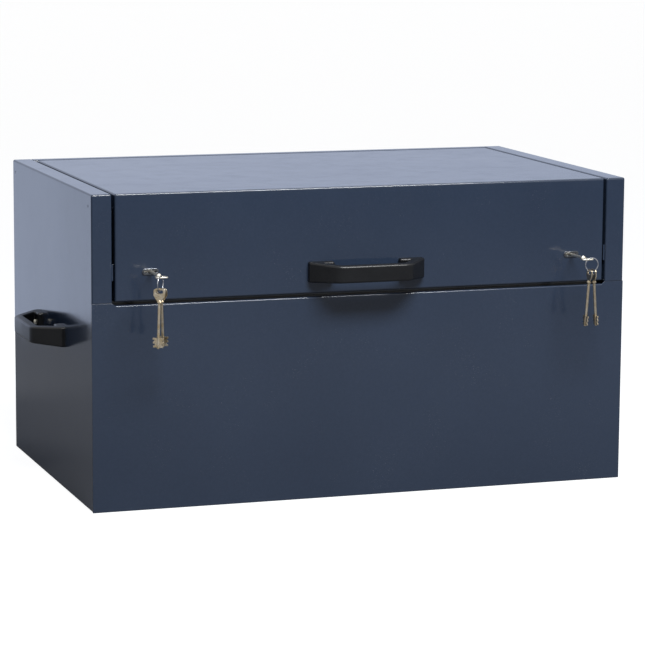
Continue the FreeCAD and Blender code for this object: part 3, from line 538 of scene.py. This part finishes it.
brass = Finish("stamped_brass")
place = place_of(brass)
tarnish = spread(brass, noise(brass, place, TARNISH), (0.4, 0.7))
tumble = noise(brass, place, TUMBLE)
brass.surface(
    Base_Color=blend(brass, tarnish, BRASS, BRASS_DARK),
    Metallic=1.0,
    Roughness=spread(brass, tumble, (0.3, 0.7), BRASS_ROUGHNESS),
    Normal=bumped(brass, tumble, TUMBLE_HEIGHT),
)
for side in SIDES:
    dress("lever_pack_" + side, brass.material)

# The keyhole plates: stadium-shaped escutcheons blanked from nickel-plated steel, their rims
# rolled round, stuck flat on the flap over the keyway. Their nickel is painted dark: the colour
# is a painted dark reflection of the floor that the flat face mirrors, and the rims catch the lamp.
PLATE_HALF, PLATE_HIGH, PLATE_THICK, PLATE_ROUND = 13.5, 10, 1.5, 0.45
KEYWAY_HALF, KEYWAY_HIGH, KEYWAY_RADIUS = 10.2, 3, 3.2
PLATE_STEPS, KEYWAY_STEPS, EDGE_STEPS = 12, 8, 2
HAIR = 0.01
# Painted dark reflection: the plate's nickel and its worn-through colour are set far darker than nickel,
# in place of the dark floor that the flat face mirrors.
PLATE_NICKEL_PAINTED_DARK = (0.21, 0.22, 0.24, 1)
PLATE_NICKEL_WORN_PAINTED_DARK = (0.13, 0.14, 0.16, 1)
NICKEL_ROUGHNESS, NICKEL_EDGE, SCRATCH_HEIGHT = (0.10, 0.20), 0.00025, 0.00003
SCRATCH_SCALE, SCRATCH_TURN = (1, 1, 7), (0.4, 0.9, 0.2)
HANDLED, SCRATCHES = (90.0, 4.0, 0.6), (700.0, 3.0, 0.7)


def nickel_finish(name, plated, worn_through, roughness):
    """Nickel plate, worn through where it is handled, with fine scratches all ways."""
    finish = Finish(name)
    place = place_of(finish)
    worn = spread(finish, noise(finish, place, HANDLED), (0.4, 0.7))
    stretched = {"Vector": place, "Scale": SCRATCH_SCALE, "Rotation": SCRATCH_TURN}
    scratch = noise(finish, finish.node("ShaderNodeMapping", None, stretched), SCRATCHES)
    return finish.surface(
        Base_Color=blend(finish, worn, plated, worn_through),
        Metallic=1.0,
        Roughness=spread(finish, scratch, (0.3, 0.7), roughness),
        Normal=bumped(finish, scratch, SCRATCH_HEIGHT, rounded_edge(finish, NICKEL_EDGE)),
    )


def oblong(half, half_high, radius, steps):
    """A rectangle's outline with its corners rounded."""
    corners = [(-half, -half_high), (half, -half_high), (half, half_high), (-half, half_high)]
    return rounded([(u, v, radius) for u, v in corners], steps)


def stamping(name, outlines, low, high, edge):
    """A blank cut to outlines in XY (the first is the rim, the others holes) with rounded edges."""
    curve = bpy.data.curves.new(name, "CURVE")
    curve.dimensions = "2D"
    curve.fill_mode = "BOTH"
    curve.extrude = (high - low) * MM / 2 - edge * MM
    curve.bevel_depth = edge * MM
    curve.bevel_resolution = EDGE_STEPS
    curve.offset = -edge * MM
    for points in outlines:
        spline = curve.splines.new("POLY")
        spline.points.add(len(points) - 1)
        for point, (u, v) in zip(spline.points, points):
            point.co = (u * MM, v * MM, 0, 1)
        spline.use_cyclic_u = True
    blank = bpy.data.objects.new(name, curve)
    scene.collection.objects.link(blank)
    depsgraph = bpy.context.evaluated_depsgraph_get()
    solid = bpy.data.meshes.new_from_object(blank.evaluated_get(depsgraph))
    bpy.data.objects.remove(blank)
    solid.transform(Matrix.Translation((0, 0, (low + high) * MM / 2)))
    return solid


# The plate's finish: nickel with a painted dark reflection in its colour, worn through in patches.
plate_nickel_painted_dark = nickel_finish("plate_nickel_painted_dark", PLATE_NICKEL_PAINTED_DARK, PLATE_NICKEL_WORN_PAINTED_DARK, NICKEL_ROUGHNESS)
plate_rim = oblong(PLATE_HALF, PLATE_HIGH / 2, PLATE_HIGH / 2 - HAIR, PLATE_STEPS)
keyway = []
slot_meets_bore = math.asin(KEYWAY_HIGH / 2 / KEYWAY_RADIUS)
for sign in (1, -1):
    slot_end, slot_side, bore = sign * KEYWAY_HALF, sign * KEYWAY_HIGH / 2, sign * KEYWAY_RADIUS
    keyway += [(slot_end, -slot_side), (slot_end, slot_side)]
    for i in range(KEYWAY_STEPS + 1):
        angle = slot_meets_bore + (math.pi - 2 * slot_meets_bore) * i / KEYWAY_STEPS
        keyway.append((bore * math.cos(angle), bore * math.sin(angle)))
upright = Matrix.Rotation(math.pi / 2, 4, "X")
for side in SIDES:
    low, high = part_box("keyhole_plate_" + side)
    middle = (low + high) / 2
    blank = stamping("keyhole_plate", [plate_rim, keyway], 0, PLATE_THICK, PLATE_ROUND)
    plate = show("escutcheon_" + side, blank, plate_nickel_painted_dark)
    plate.matrix_world = Matrix.Translation((middle.x, high.y, middle.z)) @ upright
    smooth(plate, angle=50)
    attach(plate, "lid_leaf")
    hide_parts("keyhole_plate_" + side)

# The keys: long double-bitted lever keys, 94 mm, die cast in brass and nickel plated. A flat
# bow with a slotted eye narrows to a round shank with a collar, and the stepped bit is milled.
BOW_HALF, BOW_SQUARE, BOW_LENGTH, BOW_THICK = 10, 6, 17, 1.8
BOW_ROUND, BOW_NECK, BOW_STEPS, KEY_EDGE = 4, 2, 8, 0.35
EYE_EDGE, EYE_RADIUS, EYE_SLOT = 5, 3.3, 2.7
SHANK_RADIUS, SHANK_SIDES, KEY_TIP, TIP_CHAMFER = 2.25, 28, 89, 0.8
# The shank's first rings lie in the bow: each has its place from the bow's end, and its radius.
SHANK_ROOT = [(-5, 0.3), (-4, 1.5)]
COLLAR_RADIUS, COLLAR_LENGTH, COLLAR_IN_BOW, COLLAR_CHAMFER = 3.7, 3, 2, 0.5
COLLAR_SLOPE_FRONT, COLLAR_SLOPE_BACK = 0.6, 0.3
BIT_START, BIT_STEP, BIT_THICK, BIT_EDGE, BIT_STEPS = 72, 3, 2, 0.2, 2
BIT_SHARES = (0.95, 0.7, 0.9, 0.6, 0.85)
KEY_NICKEL, KEY_WORN, KEY_ROUGHNESS = (0.86, 0.84, 0.78, 1), (0.74, 0.68, 0.54, 1), (0.28, 0.42)
SPARE_NICKEL, SPARE_WORN = (0.56, 0.50, 0.40, 1), (0.44, 0.34, 0.19, 1)
SPARE_ROUGHNESS = (0.22, 0.38)
# A ring faces by its yaw in degrees. Its spare keys lean apart by the splay, and the middle of
# their eyes lies a drop below the wire that they swing on.
RING_YAW = {"left": 51.5, "right": 180}
SPLAY, SPARE_DROP = 4, 2.0
UP = Vector((0, 0, 1))


def wire_direction(side):
    """Where a ring's wire points at its lowest place, where the spare keys hang on it."""
    yaw = math.radians(RING_YAW[side])
    return Vector((-math.cos(yaw), -math.sin(yaw), 0))


def turned_to(*directions):
    """The turn that lays X, Y and Z along three directions."""
    return Matrix(directions).transposed().to_4x4()


bow = [(BOW_HALF, -EYE_EDGE, BOW_ROUND), (BOW_HALF, BOW_SQUARE, BOW_ROUND), (BOW_NECK, BOW_LENGTH, 0)]
bow = rounded(bow + other_side(bow), BOW_STEPS)
eye = oblong(EYE_SLOT + EYE_RADIUS, EYE_RADIUS, EYE_RADIUS - HAIR, BOW_STEPS)
bit = []
for i, share in enumerate(BIT_SHARES):
    start = BIT_START + i * BIT_STEP
    bit += [(share * BOW_HALF, start, BIT_EDGE), (share * BOW_HALF, start + BIT_STEP, BIT_EDGE)]
bit = rounded(bit + other_side(bit), BIT_STEPS)
collar_front = BOW_LENGTH - COLLAR_IN_BOW
collar_back = collar_front + COLLAR_LENGTH
shank = [(BOW_LENGTH + along, radius) for along, radius in SHANK_ROOT]
shank += [(collar_front - COLLAR_SLOPE_FRONT, SHANK_RADIUS)]
shank += [(collar_front, COLLAR_RADIUS - COLLAR_CHAMFER), (collar_front + COLLAR_CHAMFER, COLLAR_RADIUS)]
shank += [(collar_back - COLLAR_CHAMFER, COLLAR_RADIUS), (collar_back, COLLAR_RADIUS - COLLAR_CHAMFER)]
shank += [(collar_back + COLLAR_SLOPE_BACK, SHANK_RADIUS)]
shank += [(KEY_TIP - TIP_CHAMFER, SHANK_RADIUS), (KEY_TIP, SHANK_RADIUS - TIP_CHAMFER)]
parts = [stamping("bow", [bow, eye], -BOW_THICK / 2, BOW_THICK / 2, KEY_EDGE)]
parts += [lathe("shank", shank, SHANK_SIDES)]
parts += [stamping("bit", [bit], -BIT_THICK / 2, BIT_THICK / 2, BIT_EDGE)]
key_mesh = together("lever_key", [(part, Matrix.Identity(4)) for part in parts])
key_nickel = nickel_finish("key_nickel", KEY_NICKEL, KEY_WORN, KEY_ROUGHNESS)
spare_nickel = nickel_finish("spare_key_nickel", SPARE_NICKEL, SPARE_WORN, SPARE_ROUGHNESS)

joint_place = {joint["name"]: Vector(joint["pos_m"]) for joint in frame["joints"] if "pos_m" in joint}
key_stands = {}
for side in SIDES:
    in_lock = Matrix.Translation(joint_place["key_%s_turn" % side])
    key_stands["key_" + side] = ("key_" + side, key_nickel, in_lock)
    wire = wire_direction(side)
    for letter, lean in (("a", -1), ("b", 1)):
        splay = Matrix.Rotation(-lean * math.radians(SPLAY), 3, UP.cross(wire))
        hang, flat_on = splay @ -UP, splay @ wire
        body = "spare_%s_%s" % (side, letter)
        eye_place = Matrix.Translation(joint_place[body + "_swing"] - UP * SPARE_DROP * MM)
        stand = eye_place @ turned_to(hang.cross(flat_on), hang, flat_on)
        key_stands["spare_key_%s_%s" % (side, letter)] = (body, spare_nickel, stand)
for name, (body, plating, stand) in key_stands.items():
    key = show(name + "_cast", key_mesh.copy(), plating)
    key.matrix_world = stand
    smooth(key, angle=40)
    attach(key, body)
    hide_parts(name)

# The key rings: split rings of flattened spring steel wire, two turns pressed together, nickel
# plated. Where the wire steps from one turn to the next it leaves a slanting joint.
RING_RADIUS, RING_WIRE, RING_GAP, RING_CORNER = 11.2, 0.7, 0.02, 0.12
RING_STEP, RING_SECTIONS = math.radians(26), 120
RING_STEEL, RING_DULL, RING_ROUGHNESS = (0.50, 0.51, 0.54, 1), (0.38, 0.39, 0.42, 1), (0.20, 0.32)


def split_ring_mesh(name):
    """The flattened wire carried round twice, with a step from one turn to the next."""
    section = oblong(RING_WIRE, (RING_WIRE - RING_GAP) / 2, RING_CORNER, 1)
    rings = []
    for i in range(RING_SECTIONS + 1):
        angle = 4 * math.pi * i / RING_SECTIONS
        stepped = min(max((angle - 2 * math.pi) / RING_STEP + 0.5, 0.0), 1.0)
        level = (stepped - 0.5) * RING_WIRE
        ring = []
        for out, up in section:
            reach = RING_RADIUS + out
            ring.append((reach * math.cos(angle), reach * math.sin(angle), level + up))
        rings.append(ring)
    return made(name, skin(rings))


ring_nickel = nickel_finish("ring_nickel", RING_STEEL, RING_DULL, RING_ROUGHNESS)
for side in SIDES:
    low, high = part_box("key_ring_" + side)
    wire = wire_direction(side)
    ring = show("split_ring_" + side, split_ring_mesh("split_ring"), ring_nickel)
    ring.matrix_world = Matrix.Translation((low + high) / 2) @ turned_to(UP, wire, UP.cross(wire))
    smooth(ring, angle=50)
    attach(ring, "ring_" + side)
    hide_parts("key_ring_" + side)

# The buffers: four pads cut from extruded black rubber and glued on the gutters, where they
# stop the lid from drumming.
RUBBER = (0.018, 0.018, 0.019, 1)
RUBBER_BLOOM = (0.05, 0.05, 0.052, 1)
RUBBER_ROUGHNESS, RUBBER_HEIGHT = (0.6, 0.8), 0.00005
CHALKY_PATCHES, RUBBER_GRAIN = (90.0, 3.0, 0.5), (1500.0, 2.0, 0.5)

rubber = Finish("buffer_rubber")
place = place_of(rubber)
bloom = spread(rubber, noise(rubber, place, CHALKY_PATCHES), (0.45, 0.75))
grain = noise(rubber, place, RUBBER_GRAIN)
rubber.surface(
    Base_Color=blend(rubber, bloom, RUBBER, RUBBER_BLOOM),
    Roughness=spread(rubber, grain, (0.3, 0.7), RUBBER_ROUGHNESS),
    Normal=bumped(rubber, grain, RUBBER_HEIGHT),
)
dress("lid_buffers", rubber.material)
